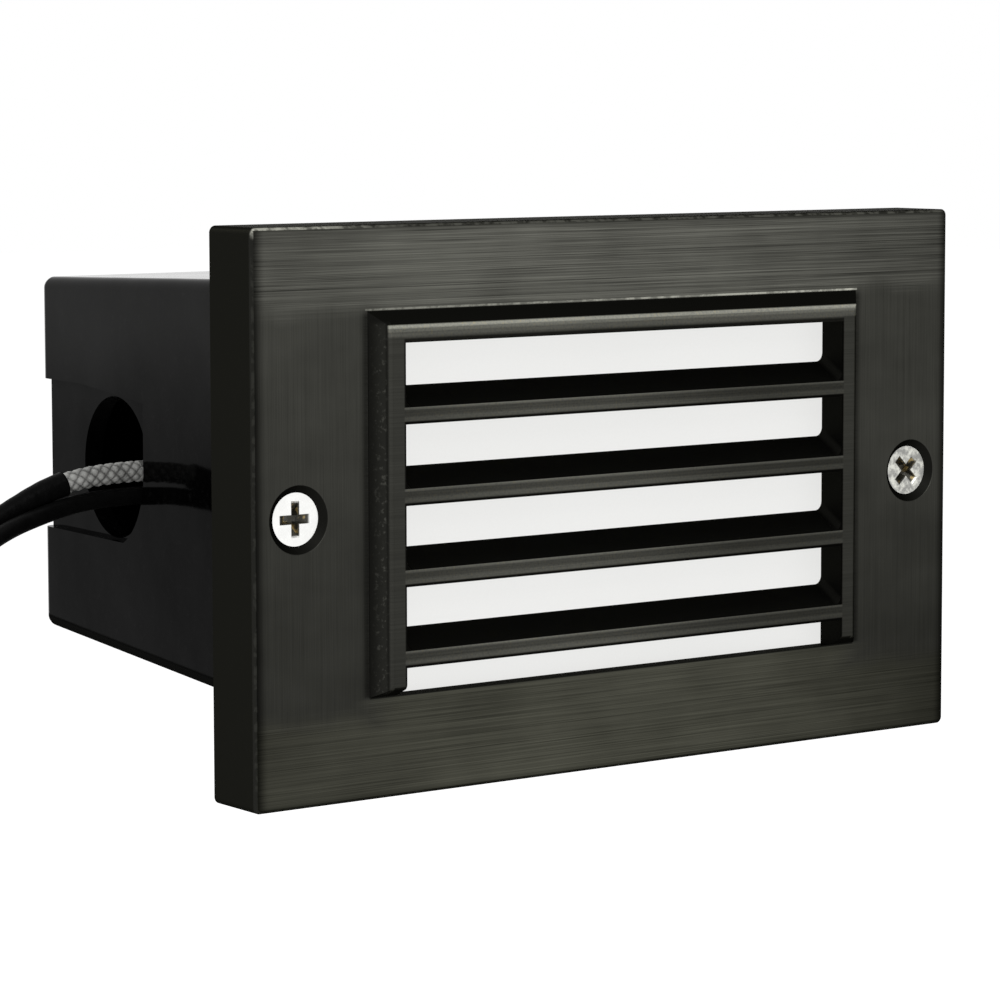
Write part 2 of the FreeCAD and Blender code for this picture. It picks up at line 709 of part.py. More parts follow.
def capsule(radius, x_flat, x_tip):
    """A rod along X with a sloping shoulder at x_flat and a round end at x_tip."""
    a = V(x_flat, 0, 0)
    b = V(x_flat, radius - BULB_SHOULDER, 0)
    c = V(x_flat - BULB_SHOULDER, radius, 0)
    d = V(x_tip + radius, radius, 0)
    e = V(x_tip, 0, 0)
    half_way = math.sqrt(0.5)
    tip = V(x_tip + radius * (1 - half_way), radius * half_way, 0)
    outline = Part.makePolygon([a, b, c, d, tip, e, a])
    solid = Part.Face(outline).revolve(V(0, 0, 0), V(1, 0, 0), 360)
    solid.translate(V(0, LAMP_Y, CENTRE_Z))
    return solid


def lamp_pins():
    pins = []
    for side in (-1, 1):
        z = CENTRE_Z + side * PIN_PITCH / 2
        pins.append(along_x(PIN_R, LAMP_Y, z, PINCH_X, PINCH_X + PIN_LONG - LAMP_GAP))
    return Part.makeCompound(pins)


def lamp_filament():
    """The coil across the capsule, on two wires that stand in the pinched end."""
    seat_x = PINCH_X - PINCH_LONG - BULB_SHOULDER
    coil_x = seat_x - FILAMENT_BACK
    half = FILAMENT_LONG / 2
    coil = Part.makeCylinder(
        FILAMENT_R, FILAMENT_LONG, V(coil_x, LAMP_Y, CENTRE_Z - half), V(0, 0, 1)
    )
    for side in (-1, 1):
        z = CENTRE_Z + side * (half - FILAMENT_WIRE_R)
        coil = coil.fuse(along_x(FILAMENT_WIRE_R, LAMP_Y, z, coil_x, seat_x))
    return coil


# ------------------------------------------------------------------ leads
# The places where the two leads leave the side of the housing, one above the other.
EXIT_Y = 52.0
EXIT_UP_Z = 1.2
EXIT_LOW_Z = -2.6
EXIT_X = wall_point(EXIT_Y, 0, PAD_SUNK).x - EXIT_GAP

START_UP_Z = CENTRE_Z + PIN_PITCH / 2
START_LOW_Z = CENTRE_Z - PIN_PITCH / 2

# Inside, from the contacts round through the reflector and back along the rear chamber.
INNER_UPPER = [
    (SOCKET_BACK_X, LAMP_Y, START_UP_Z),
    (GROMMET_X, LAMP_Y, START_UP_Z),
    (GROMMET_X, 45.0, START_UP_Z),
    (24.0, 55.0, 2.8),
    (-6.0, 57.5, 2.0),
    (-32.0, 52.0, 1.2),
    (EXIT_X, EXIT_Y, EXIT_UP_Z),
]
INNER_LOWER = [
    (SOCKET_BACK_X, LAMP_Y, START_LOW_Z),
    (GROMMET_X, LAMP_Y, START_LOW_Z),
    (GROMMET_X, 45.0, START_LOW_Z),
    (24.0, 55.5, -1.6),
    (-6.0, 58.5, -3.0),
    (-32.0, 52.0, -2.6),
    (EXIT_X, EXIT_Y, EXIT_LOW_Z),
]

# Outside, straight out of the side, over in an easy bend and down.
OUTER_UPPER = [
    (EXIT_X, EXIT_Y, EXIT_UP_Z),
    (-55.5, EXIT_Y, EXIT_UP_Z),
    (-64.5, 52.2, -1.4),
    (-74.0, 52.6, -7.0),
    (-82.0, 53.2, -17.0),
    (-86.5, 54.2, -32.0),
    (-88.0, 55.4, -53.0),
    (-87.2, 56.4, -79.0),
    (-85.8, 56.4, -105.0),
    (-85.2, 55.9, -128.0),
    (-85.6, 55.0, -148.0),
]
OUTER_LOWER = [
    (EXIT_X, EXIT_Y, EXIT_LOW_Z),
    (-54.5, EXIT_Y, EXIT_LOW_Z),
    (-63.0, 51.0, -4.6),
    (-71.5, 49.4, -7.8),
    (-79.5, 48.0, -13.4),
    (-84.6, 47.0, -23.0),
    (-86.6, 46.2, -38.0),
    (-86.0, 45.6, -59.0),
    (-84.4, 45.4, -84.0),
    (-83.4, 45.8, -108.0),
    (-83.8, 46.6, -130.0),
    (-84.8, 47.6, -149.0),
]
SLEEVE_RUNS = 1
SHRINK_RUNS = 4


def conductor_end(points):
    """The bare end of a lead, in line with its last run."""
    before, end = V(*points[-2]), V(*points[-1])
    return Part.makeCylinder(CONDUCTOR_R, CONDUCTOR_LONG, end, end - before)


def lead_grommet():
    """A rubber ring whose groove sits on the edge of the reflector's hole."""
    half = GROMMET_THICK / 2
    y = REFLECTOR_Y + SHEET / 2
    ring = along_y(GROMMET_R, GROMMET_X, CENTRE_Z, y - half, y + half)
    ring = ring.cut(along_y(GROMMET_BORE_R, GROMMET_X, CENTRE_Z, y - half, y + half))
    groove = along_y(GROMMET_R, GROMMET_X, CENTRE_Z, REFLECTOR_Y, REFLECTOR_BACK_Y)
    core = along_y(GROMMET_GROOVE_R, GROMMET_X, CENTRE_Z, REFLECTOR_Y, REFLECTOR_BACK_Y)
    return ring.cut(groove.cut(core))


# ------------------------------------------------------------------ every node
def make_leads():
    plan = {
        "inner_lead_upper": (INNER_UPPER, SLEEVE_R, 0, None),
        "inner_lead_lower": (INNER_LOWER, LEAD_R, 0, None),
        "lead_sleeve": (OUTER_UPPER, SLEEVE_R, 0, SLEEVE_RUNS),
        "lead_shrink_tube": (OUTER_UPPER, SHRINK_R, SLEEVE_RUNS, SHRINK_RUNS),
        "lead_upper": (OUTER_UPPER, LEAD_R, SHRINK_RUNS, None),
        "lead_lower": (OUTER_LOWER, LEAD_R, 0, None),
    }
    made = {}
    for name, (points, radius, first, last) in plan.items():
        made[name], length, share = tube(points, radius, first, last)
        print(f"{name}: {length:.1f} mm long, volume {share:.4f} of section times length")
    for name, points in (("upper", OUTER_UPPER), ("lower", OUTER_LOWER)):
        length = tube(points, LEAD_R)[1]
        radii = route_pieces([V(*p) for p in points])[2]
        print(f"outside, {name}: {length:.1f} mm, radii", [round(r, 1) for r in radii])
    return made


def main():
    os.makedirs("parts", exist_ok=True)
    nodes = {
        "face_plate": face_plate(),
        "lens": lens(),
        "lens_seal": lens_seal(),
        "plate_screw_left": plate_screw(-1, SCREW_TURNED[0]),
        "plate_screw_right": plate_screw(1, SCREW_TURNED[1]),
        "plate_gasket": plate_gasket(),
        "housing": housing(),
        "threaded_inserts": threaded_inserts(),
        "reflector": reflector(),
        "reflector_screws": reflector_screws(),
        "socket_bracket": socket_bracket(),
        "bracket_rivets": bracket_rivets(),
        "lamp_socket": lamp_socket(),
        "socket_contacts": Part.makeCompound(contact_boxes()),
        "socket_screws": socket_screws(),
        "lamp_bulb": lamp_bulb(),
        "lamp_pins": lamp_pins(),
        "lamp_filament": lamp_filament(),
        "lead_grommet": lead_grommet(),
        "lead_ends": Part.makeCompound([conductor_end(OUTER_UPPER), conductor_end(OUTER_LOWER)]),
        **make_leads(),
    }
    for name, shape in nodes.items():
        state = "closed" if shape.isValid() else "NOT VALID"
        print(f"{name}: {len(shape.Solids)} solid, {shape.Volume:.0f} cubic mm, {state}")
        shape.exportStep(f"parts/{name}.step")


main()
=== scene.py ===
# %% [markdown]
# A recessed step light: a louvred face plate, cast in bronze, in front of a deep black
# housing that goes into a wall. The packed model gives every solid in its right place, and
# this lesson dresses it: a camera, the two leads, the finishes and the small worked surfaces
# that a solid model leaves plain. The scene is in metres, and MM turns millimetres into it.

import bpy
import json
import math
import numpy as np
from mathutils import Matrix, Vector


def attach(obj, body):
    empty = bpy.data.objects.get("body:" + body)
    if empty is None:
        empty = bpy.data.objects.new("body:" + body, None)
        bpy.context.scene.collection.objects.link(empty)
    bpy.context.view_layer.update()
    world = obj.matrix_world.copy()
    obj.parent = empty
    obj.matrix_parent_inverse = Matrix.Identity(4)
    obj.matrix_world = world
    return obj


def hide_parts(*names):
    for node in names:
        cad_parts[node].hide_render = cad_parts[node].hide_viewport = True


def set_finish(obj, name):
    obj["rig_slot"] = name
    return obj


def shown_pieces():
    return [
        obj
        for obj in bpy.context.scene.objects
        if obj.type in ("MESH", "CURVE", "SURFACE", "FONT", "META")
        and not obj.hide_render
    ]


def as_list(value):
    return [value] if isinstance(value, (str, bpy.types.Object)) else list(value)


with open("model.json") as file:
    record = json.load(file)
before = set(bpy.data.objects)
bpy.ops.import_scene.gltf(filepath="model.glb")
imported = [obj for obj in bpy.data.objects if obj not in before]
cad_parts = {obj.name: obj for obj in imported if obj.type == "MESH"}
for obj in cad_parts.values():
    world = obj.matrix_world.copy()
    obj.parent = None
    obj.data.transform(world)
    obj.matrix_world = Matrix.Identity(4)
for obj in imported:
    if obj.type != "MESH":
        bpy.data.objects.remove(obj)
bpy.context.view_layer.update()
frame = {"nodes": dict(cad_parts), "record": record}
MM = 0.001


def add_object(name, data):
    """A new object in the scene, made of a mesh, a curve, a lamp or a camera."""
    made = bpy.data.objects.new(name, data)
    bpy.context.scene.collection.objects.link(made)
    return made


# %% [markdown]
# The camera stands low on the left, about half a metre away, with a long lens. Its place was
# worked out from the corners of the plate, so a corner falls on the pixel where the
# photograph has it. The picture was cropped a little above the lens's axis, so the frame is
# shifted by a twentieth of its height.

# %% Camera
YAW, PITCH, ROLL = (math.radians(angle) for angle in (36.103, -5.424, -0.123))
CAMERA_AT = (-0.3413, -0.4478, 0.0592)
LENS_MM, SENSOR_MM, FRAME_SHIFT, NEAREST = 134.9, 36.0, -0.05, 0.02

forward = Vector(
    (math.sin(YAW) * math.cos(PITCH), math.cos(YAW) * math.cos(PITCH), math.sin(PITCH))
)
level = Vector((math.cos(YAW), -math.sin(YAW), 0))
right = level * math.cos(ROLL) + level.cross(forward) * math.sin(ROLL)
upward = right.cross(forward)
camera_data = bpy.data.cameras.new("camera")
camera_data.sensor_width, camera_data.lens = SENSOR_MM, LENS_MM
camera_data.shift_y, camera_data.clip_start = FRAME_SHIFT, NEAREST
camera = add_object("camera", camera_data)
stand = Matrix((right, upward, -forward)).transposed().to_4x4()
stand.translation = CAMERA_AT
camera.matrix_world = stand
bpy.context.scene.camera = camera
print("camera looks along", [round(v, 3) for v in forward])

# %% [markdown]
# A lead is a fixed length of something flexible. Its line is one smooth spline through the
# air: straight out of the wire entry, over in an easy bend, and down under its own weight.
# Each route is in millimetres, and starts or ends in the wire entry.

# %% The routes of the leads
ENTRY_UPPER, ENTRY_LOWER = (-46.406, 52.0, 1.2), (-46.406, 52.0, -2.6)
UPPER = [
    ENTRY_UPPER, (-55.5, 52.0, 1.2), (-64.5, 52.3, -1.6), (-74.5, 53.0, -6.7),
    (-82.6, 53.5, -16.2), (-86.8, 54.2, -31.0), (-88.0, 55.4, -53.0), (-87.2, 56.4, -79.0),
    (-85.8, 56.4, -105.0), (-85.2, 55.9, -128.0), (-85.6, 55.0, -148.0),
]
LOWER = [
    ENTRY_LOWER, (-54.5, 52.0, -2.6), (-63.0, 50.8, -4.1), (-72.0, 49.0, -6.4),
    (-80.2, 47.8, -11.2), (-85.0, 47.0, -21.0), (-86.6, 46.2, -37.6), (-86.0, 45.6, -59.0),
    (-84.4, 45.4, -84.0), (-83.4, 45.8, -108.0), (-83.8, 46.6, -130.0), (-84.8, 47.6, -149.0),
]
INNER_UPPER = [
    (26.0, 26.0, 3.2), (34.5, 26.0, 3.2), (34.5, 45.0, 3.2), (24.0, 55.0, 2.8),
    (-6.0, 57.5, 2.0), (-32.0, 52.0, 1.2), ENTRY_UPPER,
]
INNER_LOWER = [
    (26.0, 26.0, -0.8), (34.5, 26.0, -0.8), (34.5, 45.0, -0.8), (24.0, 55.5, -1.6),
    (-6.0, 58.5, -3.0), (-32.0, 52.0, -2.6), ENTRY_LOWER,
]
print("routes have", [len(r) for r in (UPPER, LOWER, INNER_UPPER, INNER_LOWER)], "points")

# %% [markdown]
# A curve object turns a route into a round wire, because its bevel carries a circle along the
# spline. A NURBS spline of order 3 stays inside its control points and has no corners, which
# is how insulated wire bends. The bare lead is 2.8 mm thick. Inside the light the upper one
# wears its sleeve, so there it is drawn at the sleeve's radius.

# %% The leads
LEAD_R, SLEEVE_R = 1.4 * MM, 1.65 * MM
SPLINE_ORDER, STEPS_ALONG, STEPS_ROUND = 3, 12, 5


def lead_curve(name, points, radius):
    """A round lead along a smooth spline whose control points are the route's points.

    The bevel is one metre and each point scales it down, so the lead's box stays small.
    """
    data = bpy.data.curves.new(name, "CURVE")
    data.dimensions = "3D"
    data.bevel_depth = 1.0
    data.bevel_resolution, data.resolution_u = STEPS_ROUND, STEPS_ALONG
    data.use_fill_caps = True
    spline = data.splines.new("NURBS")
    spline.points.add(len(points) - 1)
    flat = np.ones((len(points), 4))
    flat[:, :3] = np.array(points) * MM
    spline.points.foreach_set("co", flat.ravel())
    spline.points.foreach_set("radius", np.full(len(points), radius))
    spline.order_u = SPLINE_ORDER
    spline.use_endpoint_u = True
    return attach(add_object(name, data), "fixture")


def line_of(piece):
    """The points along a lead's middle, read from its spline without the bevel."""
    bare = piece.data.copy()
    bare.bevel_depth = 0
    holder = add_object("line", bare)
    mesh = bpy.data.meshes.new_from_object(holder)
    line = np.empty(len(mesh.vertices) * 3)
    mesh.vertices.foreach_get("co", line)
    bpy.data.objects.remove(holder)
    bpy.data.curves.remove(bare)
    bpy.data.meshes.remove(mesh)
    return line.reshape(-1, 3)


def spacing(line):
    """The distance from each point of a line to the next."""
    return np.linalg.norm(np.diff(line, axis=0), axis=1)


lead_upper = lead_curve("upper_lead", UPPER, LEAD_R)
lead_lower = lead_curve("lower_lead", LOWER, LEAD_R)
inner_upper = lead_curve("inner_upper_lead", INNER_UPPER, SLEEVE_R)
inner_lower = lead_curve("inner_lower_lead", INNER_LOWER, LEAD_R)
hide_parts("lead_upper")
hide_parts("lead_lower")
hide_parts("inner_lead_upper")
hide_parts("inner_lead_lower")
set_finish(inner_upper, "fibreglass")
upper_line, lower_line = line_of(lead_upper), line_of(lead_lower)
for title, line in (("upper", upper_line), ("lower", lower_line)):
    print(title, "lead is", round(float(spacing(line).sum()), 4), "m long")

# %% [markdown]
# Everything that sits on a lead is a surface of two parameters: u runs along the lead and v
# runs round it. Each ring of the grid needs two directions across the line. The leads lie
# close to one upright plane, so the direction square to that plane, made square to the line
# as well, serves all the way and the rings don't twist.

# %% Surfaces that follow a line
ACROSS = np.array((0.0, 1.0, 0.0))


def ring_ways(points):
    """Two unit directions across the line at each point.

    The first is ACROSS less its part along the line, and the second is square to both.
    """
    way = np.gradient(points, axis=0)
    way /= np.linalg.norm(way, axis=1, keepdims=True)
    side = ACROSS - way * (way @ ACROSS)[:, None]
    side /= np.linalg.norm(side, axis=1, keepdims=True)
    return side, np.cross(way, side)


def tube_grid(points, v, radius):
    """A tube's points: centre line + radius(u, v) times (side cos v + up sin v)."""
    side, up = ring_ways(points)
    ring = side[:, None] * np.cos(v)[None, :, None] + up[:, None] * np.sin(v)[None, :, None]
    return points[:, None] + ring * radius[:, :, None]


def tube_faces(rows, columns, first=0):
    """The faces over a tube's grid, whose points are numbered from first.

    Each quad joins a point, its neighbour in v, the one past both and its neighbour in u.
    The last column joins the first, and one face closes each end.
    """
    number = first + np.arange(rows * columns).reshape(rows, columns)
    side = np.roll(number, -1, axis=1)
    quads = np.stack([number[:-1], side[:-1], side[1:], number[1:]], axis=-1).reshape(-1, 4)
    return quads.tolist() + [number[0, ::-1].tolist(), number[-1].tolist()]


def smooth_mesh(name, points, faces):
    """A mesh of these points and faces, shaded smooth."""
    mesh = bpy.data.meshes.new(name)
    mesh.from_pydata(points.reshape(-1, 3).tolist(), [], faces)
    mesh.polygons.foreach_set("use_smooth", np.ones(len(mesh.polygons), dtype=bool))
    mesh.update()
    return mesh


print("upper lead's line has", len(upper_line), "points")

# %% [markdown]
# The braid and the tube that covers its end need one more thing, a map: for each point, the
# share of a turn round the lead and the millimetres along it. A finish can then follow the
# surface instead of the space round it.

# %% A sleeve with a map
def along(line, steps, start, stop):
    """Evenly spaced points on a line between two distances from its start, and the distances."""
    far = np.concatenate([[0], np.cumsum(spacing(line))])
    want = np.linspace(start, stop, steps)
    return np.stack([np.interp(want, far, line[:, k]) for k in range(3)], axis=1), want


def angles(columns):
    """Evenly spaced angles round a lead."""
    return np.linspace(0, 2 * math.pi, columns, endpoint=False)


def add_sleeve(name, points, want, radius, columns):
    """A tube of radius(u, v) on a lead, with its map."""
    v = angles(columns)
    grid = tube_grid(points, v, radius(want[:, None], v[None, :]))
    mesh = smooth_mesh(name, grid, tube_faces(len(points), columns))
    turn, far = np.broadcast_arrays(v[None, :] / (2 * math.pi), want[:, None] / MM)
    corner = np.empty(len(mesh.loops), dtype=np.int64)
    mesh.loops.foreach_get("vertex_index", corner)
    layer = mesh.uv_layers.new(name="along")
    layer.data.foreach_set("uv", np.stack([turn, far], axis=-1).reshape(-1, 2)[corner].ravel())
    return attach(add_object(name, mesh), "fixture")


print("every ring starts near the direction", ACROSS.tolist())

# %% [markdown]
# The braid is a glass-fibre sleeve. Two sets of flat yarns wind round it in opposite
# directions and pass over and under each other. Where two rows of waves cross, one for each
# set, their product makes a lozenge, and the lozenges that lie on top stand a little higher.

# %% Braided sleeve
BRAID_PITCH, YARNS, OVER_SHARE = 9.0, 5, 0.1
GROOVE_R, YARN_THICK = SLEEVE_R - 0.26 * MM, 0.30 * MM
SLEEVE_LONG, SLEEVE_ROWS, SLEEVE_COLUMNS = 15.5 * MM, 260, 120


def braid(u, v):
    """Radius of a braid: base + height times the root of the product of two crossing waves."""
    turns = 2 * math.pi * u / (BRAID_PITCH * MM)
    product = np.sin(YARNS * (v + turns) / 2) * np.sin(YARNS * (v - turns) / 2)
    crest = np.sqrt(np.abs(product)) * (1 - OVER_SHARE + OVER_SHARE * np.sign(product))
    return GROOVE_R + YARN_THICK * crest


points, want = along(upper_line, SLEEVE_ROWS, 0.0, SLEEVE_LONG)
sleeve = add_sleeve("braided_sleeve", points, want, braid, SLEEVE_COLUMNS)
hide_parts("lead_sleeve")
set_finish(sleeve, "fibreglass")
print("sleeve has", len(sleeve.data.polygons), "faces")

# %% [markdown]
# The heat-shrink tube has drawn down on the sleeve at one end and on the bare lead at the
# other, so its radius is a smooth step, with a slightly rolled lip at each end and shallow
# waves where it shrank unevenly.

# %% Heat-shrink tube
SHRINK_START, SHRINK_STOP = 13.0 * MM, 48.0 * MM
SHRINK_ROWS, SHRINK_COLUMNS = 160, 48
FILM, STEP, LIP = 0.24, 0.26, 0.06
STEP_AT, STEEPNESS, LIP_WIDE = 0.2, 30, 0.015


def shrunk(u, v):
    """Radius: a step down from sleeve to lead, plus a lip at each end and faint waves."""
    t = (u - SHRINK_START) / (SHRINK_STOP - SHRINK_START)
    step = 1 / (1 + np.exp((t - STEP_AT) * STEEPNESS))
    lip = np.exp(-(t / LIP_WIDE) ** 2) + np.exp(-(((1 - t) / LIP_WIDE) ** 2))
    far = u / MM
    wave = 0.02 * np.sin(far * 0.9) * np.sin(v + far * 0.2) + 0.012 * np.sin(far * 2.3 + 1.0)
    return LEAD_R + FILM * MM + (STEP * step + LIP * lip + wave) * MM


points, want = along(upper_line, SHRINK_ROWS, SHRINK_START, SHRINK_STOP)
shrink = add_sleeve("heat_shrink_tube", points, want, shrunk, SHRINK_COLUMNS)
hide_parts("lead_shrink_tube")
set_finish(shrink, "shrink")
print("heat-shrink tube is", round((SHRINK_STOP - SHRINK_START) / MM, 1), "mm long")

# %% [markdown]
# The stripped end of a lead shows its strands: one in the middle and six round it, twisted
# together and tinned. A strand is a tube round a helix, so one function makes all seven. They
# start a little inside the insulation, and narrow at the cut.

# %% Tinned strands
STRANDS_ROUND, STRAND_R, STRANDS_APART = 6, 0.235 * MM, 1.97
TWIST, BARE_LONG, TUCKED_IN = 11.0 * MM, 9.0 * MM, 0.4 * MM
CUT_LONG, CUT_SHARE = 0.25 * MM, 0.35
STRAND_ROWS, STRAND_COLUMNS = 60, 10


def strand_lines(line, u):
    """Six helices round a straight one: end + axis u + offset (side cos w + up sin w).

    The angle w makes a turn in each TWIST of u, and each helix starts a sixth of a turn on.
    """
    end, axis = line[-1], line[-1] - line[-2]
    axis = axis / np.linalg.norm(axis)
    side, up = (ways[0] for ways in ring_ways(np.stack([end, end + axis])))
    for k in range(STRANDS_ROUND + 1):
        offset = STRANDS_APART * STRAND_R if k < STRANDS_ROUND else 0.0
        w = 2 * math.pi * (u / TWIST + k / STRANDS_ROUND)
        turning = np.outer(np.cos(w), side) + np.outer(np.sin(w), up)
        yield end + np.outer(u, axis) + offset * turning


def strands(name, line):
    """The strands of one lead, as one piece."""
    u = np.linspace(-TUCKED_IN, BARE_LONG, STRAND_ROWS)
    radius = STRAND_R * np.clip((BARE_LONG - u) / CUT_LONG, CUT_SHARE, 1)[:, None]
    grids = [tube_grid(c, angles(STRAND_COLUMNS), radius) for c in strand_lines(line, u)]
    faces = []
    for k in range(len(grids)):
        faces += tube_faces(STRAND_ROWS, STRAND_COLUMNS, k * STRAND_ROWS * STRAND_COLUMNS)
    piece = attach(add_object(name, smooth_mesh(name, np.array(grids), faces)), "fixture")
    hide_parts("lead_ends")
    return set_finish(piece, "tinned")


upper_end = strands("upper_strands", upper_line)
lower_end = strands("lower_strands", lower_line)
print("stripped ends have", len(upper_end.data.polygons), "faces each")

# %% [markdown]
# Each lead outside the light takes the finish of black insulation. Its length, the point where it
# comes out and the pieces that sit on it are worked out, but nothing uses them.

# %% The cords
for piece, line, others in (
    (lead_upper, upper_line, [sleeve, shrink, upper_end]),
    (lead_lower, lower_line, [lower_end]),
):
    long = float(spacing(line).sum())
    tuple(line[0])
    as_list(others)
    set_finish(piece, "lead_black")
    print(piece.name, "is a cord with", len(others), "pieces on it")

# %% [markdown]
# A finish is a Principled shader fed by small calculations on where a point lies. Wiring
# those by hand hides the formula, so a socket is wrapped in a class whose operators add the
# Math nodes. `1 - mask * 0.4` then reads like the formula that it is.

# %% Shader expressions
class Value:
    """A number or colour that a node tree works out, as one output socket."""

    def __init__(self, nodes, socket):
        self.nodes, self.socket = nodes, socket

    def do(self, operation, *terms):
        return self.nodes.node("ShaderNodeMath", {"operation": operation}, dict(enumerate(terms)))

    def __add__(self, other):
        return self.do("ADD", self, other)

    def __sub__(self, other):
        return self.do("SUBTRACT", self, other)

    def __rsub__(self, other):
        return self.do("SUBTRACT", other, self)

    def __mul__(self, other):
        return self.do("MULTIPLY", self, other)

    def __mod__(self, other):
        return self.do("FLOORED_MODULO", self, other)

    def __pow__(self, other):
        return self.do("POWER", self, other)

    def __abs__(self):
        return self.do("ABSOLUTE", self)

    def __or__(self, other):
        """The greater of the two, which joins masks."""
        return self.do("MAXIMUM", self, other)

    __radd__, __rmul__, __ror__ = __add__, __mul__, __or__

    def wave(self):
        return self.do("SINE", self)

    def rise(self, low, high):
        """0 below low, 1 above high, and a smooth step between."""
        return self.nodes.node(
            "ShaderNodeMapRange",
            {"interpolation_type": "SMOOTHSTEP"},
            {"Value": self, "From Min": low, "From Max": high},
        )

    def near(self, middle, half, soft):
        """1 within half of the middle, and 0 past half + soft."""
        return 1 - abs(self - middle).rise(half, half + soft)


print("a value can", [name for name in vars(Value) if not name.startswith("__")])

# %% [markdown]
# Every node is made by one method, whether it is for a material or for the world behind the
# light. A finish is a set of nodes that ends in the Principled shader, and it knows each point
# of its piece in millimetres.

# %% Nodes and finishes
class Nodes:
    """The nodes of a material or of the world."""

    def __init__(self, owner):
        owner.use_nodes = True
        self.tree = owner.node_tree

    def node(self, kind, settings, sockets, output=0):
        """Any node: settings first, then a value or a link for each socket named."""
        made = self.tree.nodes.new(kind)
        for key, value in settings.items():
            setattr(made, key, value)
        self.fill(made, sockets)
        return Value(self, made.outputs[output])

    def fill(self, made, sockets):
        """A link for each socket that gets a worked out value, and a constant for the rest."""
        for key, value in sockets.items():
            if isinstance(value, Value):
                self.tree.links.new(value.socket, made.inputs[key])
            else:
                made.inputs[key].default_value = value


class Finish(Nodes):
    """A material whose points are known in millimetres."""

    def __init__(self, name, constants):
        self.material = bpy.data.materials.new(name)
        super().__init__(self.material)
        self.fill(self.tree.nodes["Principled BSDF"], constants)
        place = self.node("ShaderNodeTexCoord", {}, {}, "Object")
        self.at = self.node(
            "ShaderNodeVectorMath", {"operation": "SCALE"}, {0: place, "Scale": 1 / MM}
        )
        self.x, self.y, self.z = self.split(self.at)

    def split(self, vector):
        """The three numbers of a vector."""
        made = self.node("ShaderNodeSeparateXYZ", {}, {0: vector})
        return [Value(self, s) for s in made.socket.node.outputs]

    def noise(self, per_mm, detail=2.0, rough=0.5, where=None):
        """Smooth noise from 0 to 1: per_mm is how many features fit in a millimetre.

        Three numbers, for x, y and z, stretch the grain. One serves for all three.
        """
        scale = per_mm if isinstance(per_mm, tuple) else (per_mm,) * 3
        scaled = self.node("ShaderNodeMapping", {}, {"Vector": where or self.at, "Scale": scale})
        return self.node(
            "ShaderNodeTexNoise", {},
            {"Vector": scaled, "Scale": 1.0, "Detail": detail, "Roughness": rough},
        )

    def blend(self, share, first, second):
        """A colour between two, by a share from 0 to 1."""
        first, second = [c if isinstance(c, Value) else (*c, 1.0) for c in (first, second)]
        return self.node(
            "ShaderNodeMix", {"data_type": "RGBA"}, {0: share, 6: first, 7: second}, 2
        )

    def feed(self, **values):
        """What changes over the surface, by the name of the shader's socket."""
        sockets = {key.replace("_", " "): value for key, value in values.items()}
        self.fill(self.tree.nodes["Principled BSDF"], sockets)
        return self

    def relief(self, height, depth, strength):
        """Bumps so many millimetres deep."""
        return self.feed(Normal=self.node(
            "ShaderNodeBump", {}, {"Height": height, "Distance": depth * MM, "Strength": strength}
        ))


print("a finish can", [name for name in vars(Finish) if not name.startswith("__")])

# %% [markdown]
# The face plate is cast bronze with a black patina, rubbed back with an abrasive belt. The
# belt only reached what stands proud: the plate's front, and the front of the surround and of
# the louvres. Between them, in the slots and on the bevels, the patina is still black. Each
# pair of numbers below says where an edge of the surround starts and where it is passed.

# %% Rubbed bronze
FRONT_Y, PROUD_Y, BEVEL_Y = -10.8, -13.4, (-13.12, -12.92)
INNER_SIDE, INNER_HEAD = (42.9, 43.1), (25.6, 25.8)
OUTER_SIDE, OUTER_HEAD, OUTER_FOOT = (45.4, 45.7), (28.3, 28.6), (-26.6, -26.4)
RUBBED_LEFT = (-43.9, -43.6)

bronze = Finish("rubbed_bronze", {"Metallic": 1.0, "Specular Tint": (0.3, 0.3, 0.28, 1.0)})
x, y, z = bronze.x, bronze.y, bronze.z
surround = abs(x).rise(*INNER_SIDE) | z.rise(*INNER_HEAD)
raised = y.near(PROUD_Y, 0.03, 0.07) | surround * (1 - y.rise(*BEVEL_Y))
raised = raised * x.rise(*RUBBED_LEFT)
round_frame = abs(x).rise(*OUTER_SIDE) | z.rise(*OUTER_HEAD) | (1 - z.rise(*OUTER_FOOT))
front = y.near(FRONT_Y, 0.03, 0.08) * round_frame
print("bronze knows its raised and its front faces:", len(bronze.tree.nodes), "nodes")

# %% [markdown]
# The belt left long, thin strokes. They are noise stretched about three hundred times along
# the band: a coarse one for the way the belt pressed and a fine one for its grit. They lie
# along x on the bands above and below the louvres, and along z, much fainter, beside them.

# %% Strokes of the belt
def stroke_noise(coarse, fine):
    """Half of a coarse noise and half of a fine one."""
    return bronze.noise(coarse, 3.0, 0.6) * 0.5 + bronze.noise(fine, 2.0) * 0.5


long_strokes = stroke_noise((0.018, 1.0, 5.0), (0.05, 1.0, 15.0))
down_strokes = stroke_noise((5.0, 1.0, 0.03), (15.0, 1.0, 0.09))
cloud = bronze.noise((0.05, 0.05, 0.07), 3.0, 0.55)
ragged = bronze.noise(0.12, 2.0) * 4
between = 1 - abs(x).rise(40.0, 50.0)
top_band = (z + ragged).rise(29.5, 33.0) | z.rise(*OUTER_HEAD) * between
low_band = (1 - (z - ragged).rise(-33.5, -29.0)) | (1 - z.rise(*OUTER_FOOT)) * between
bands = (top_band | low_band) | (1 - abs(x).rise(45.0, 47.0))
strokes = (
    (long_strokes - 0.5) * bands * (2.7 + top_band * 1.5)
    + (down_strokes - 0.5) * (1 - bands) * 1.1
    + (cloud - 0.5) * 0.9
)
print("strokes lie in", len(bronze.tree.nodes), "nodes")
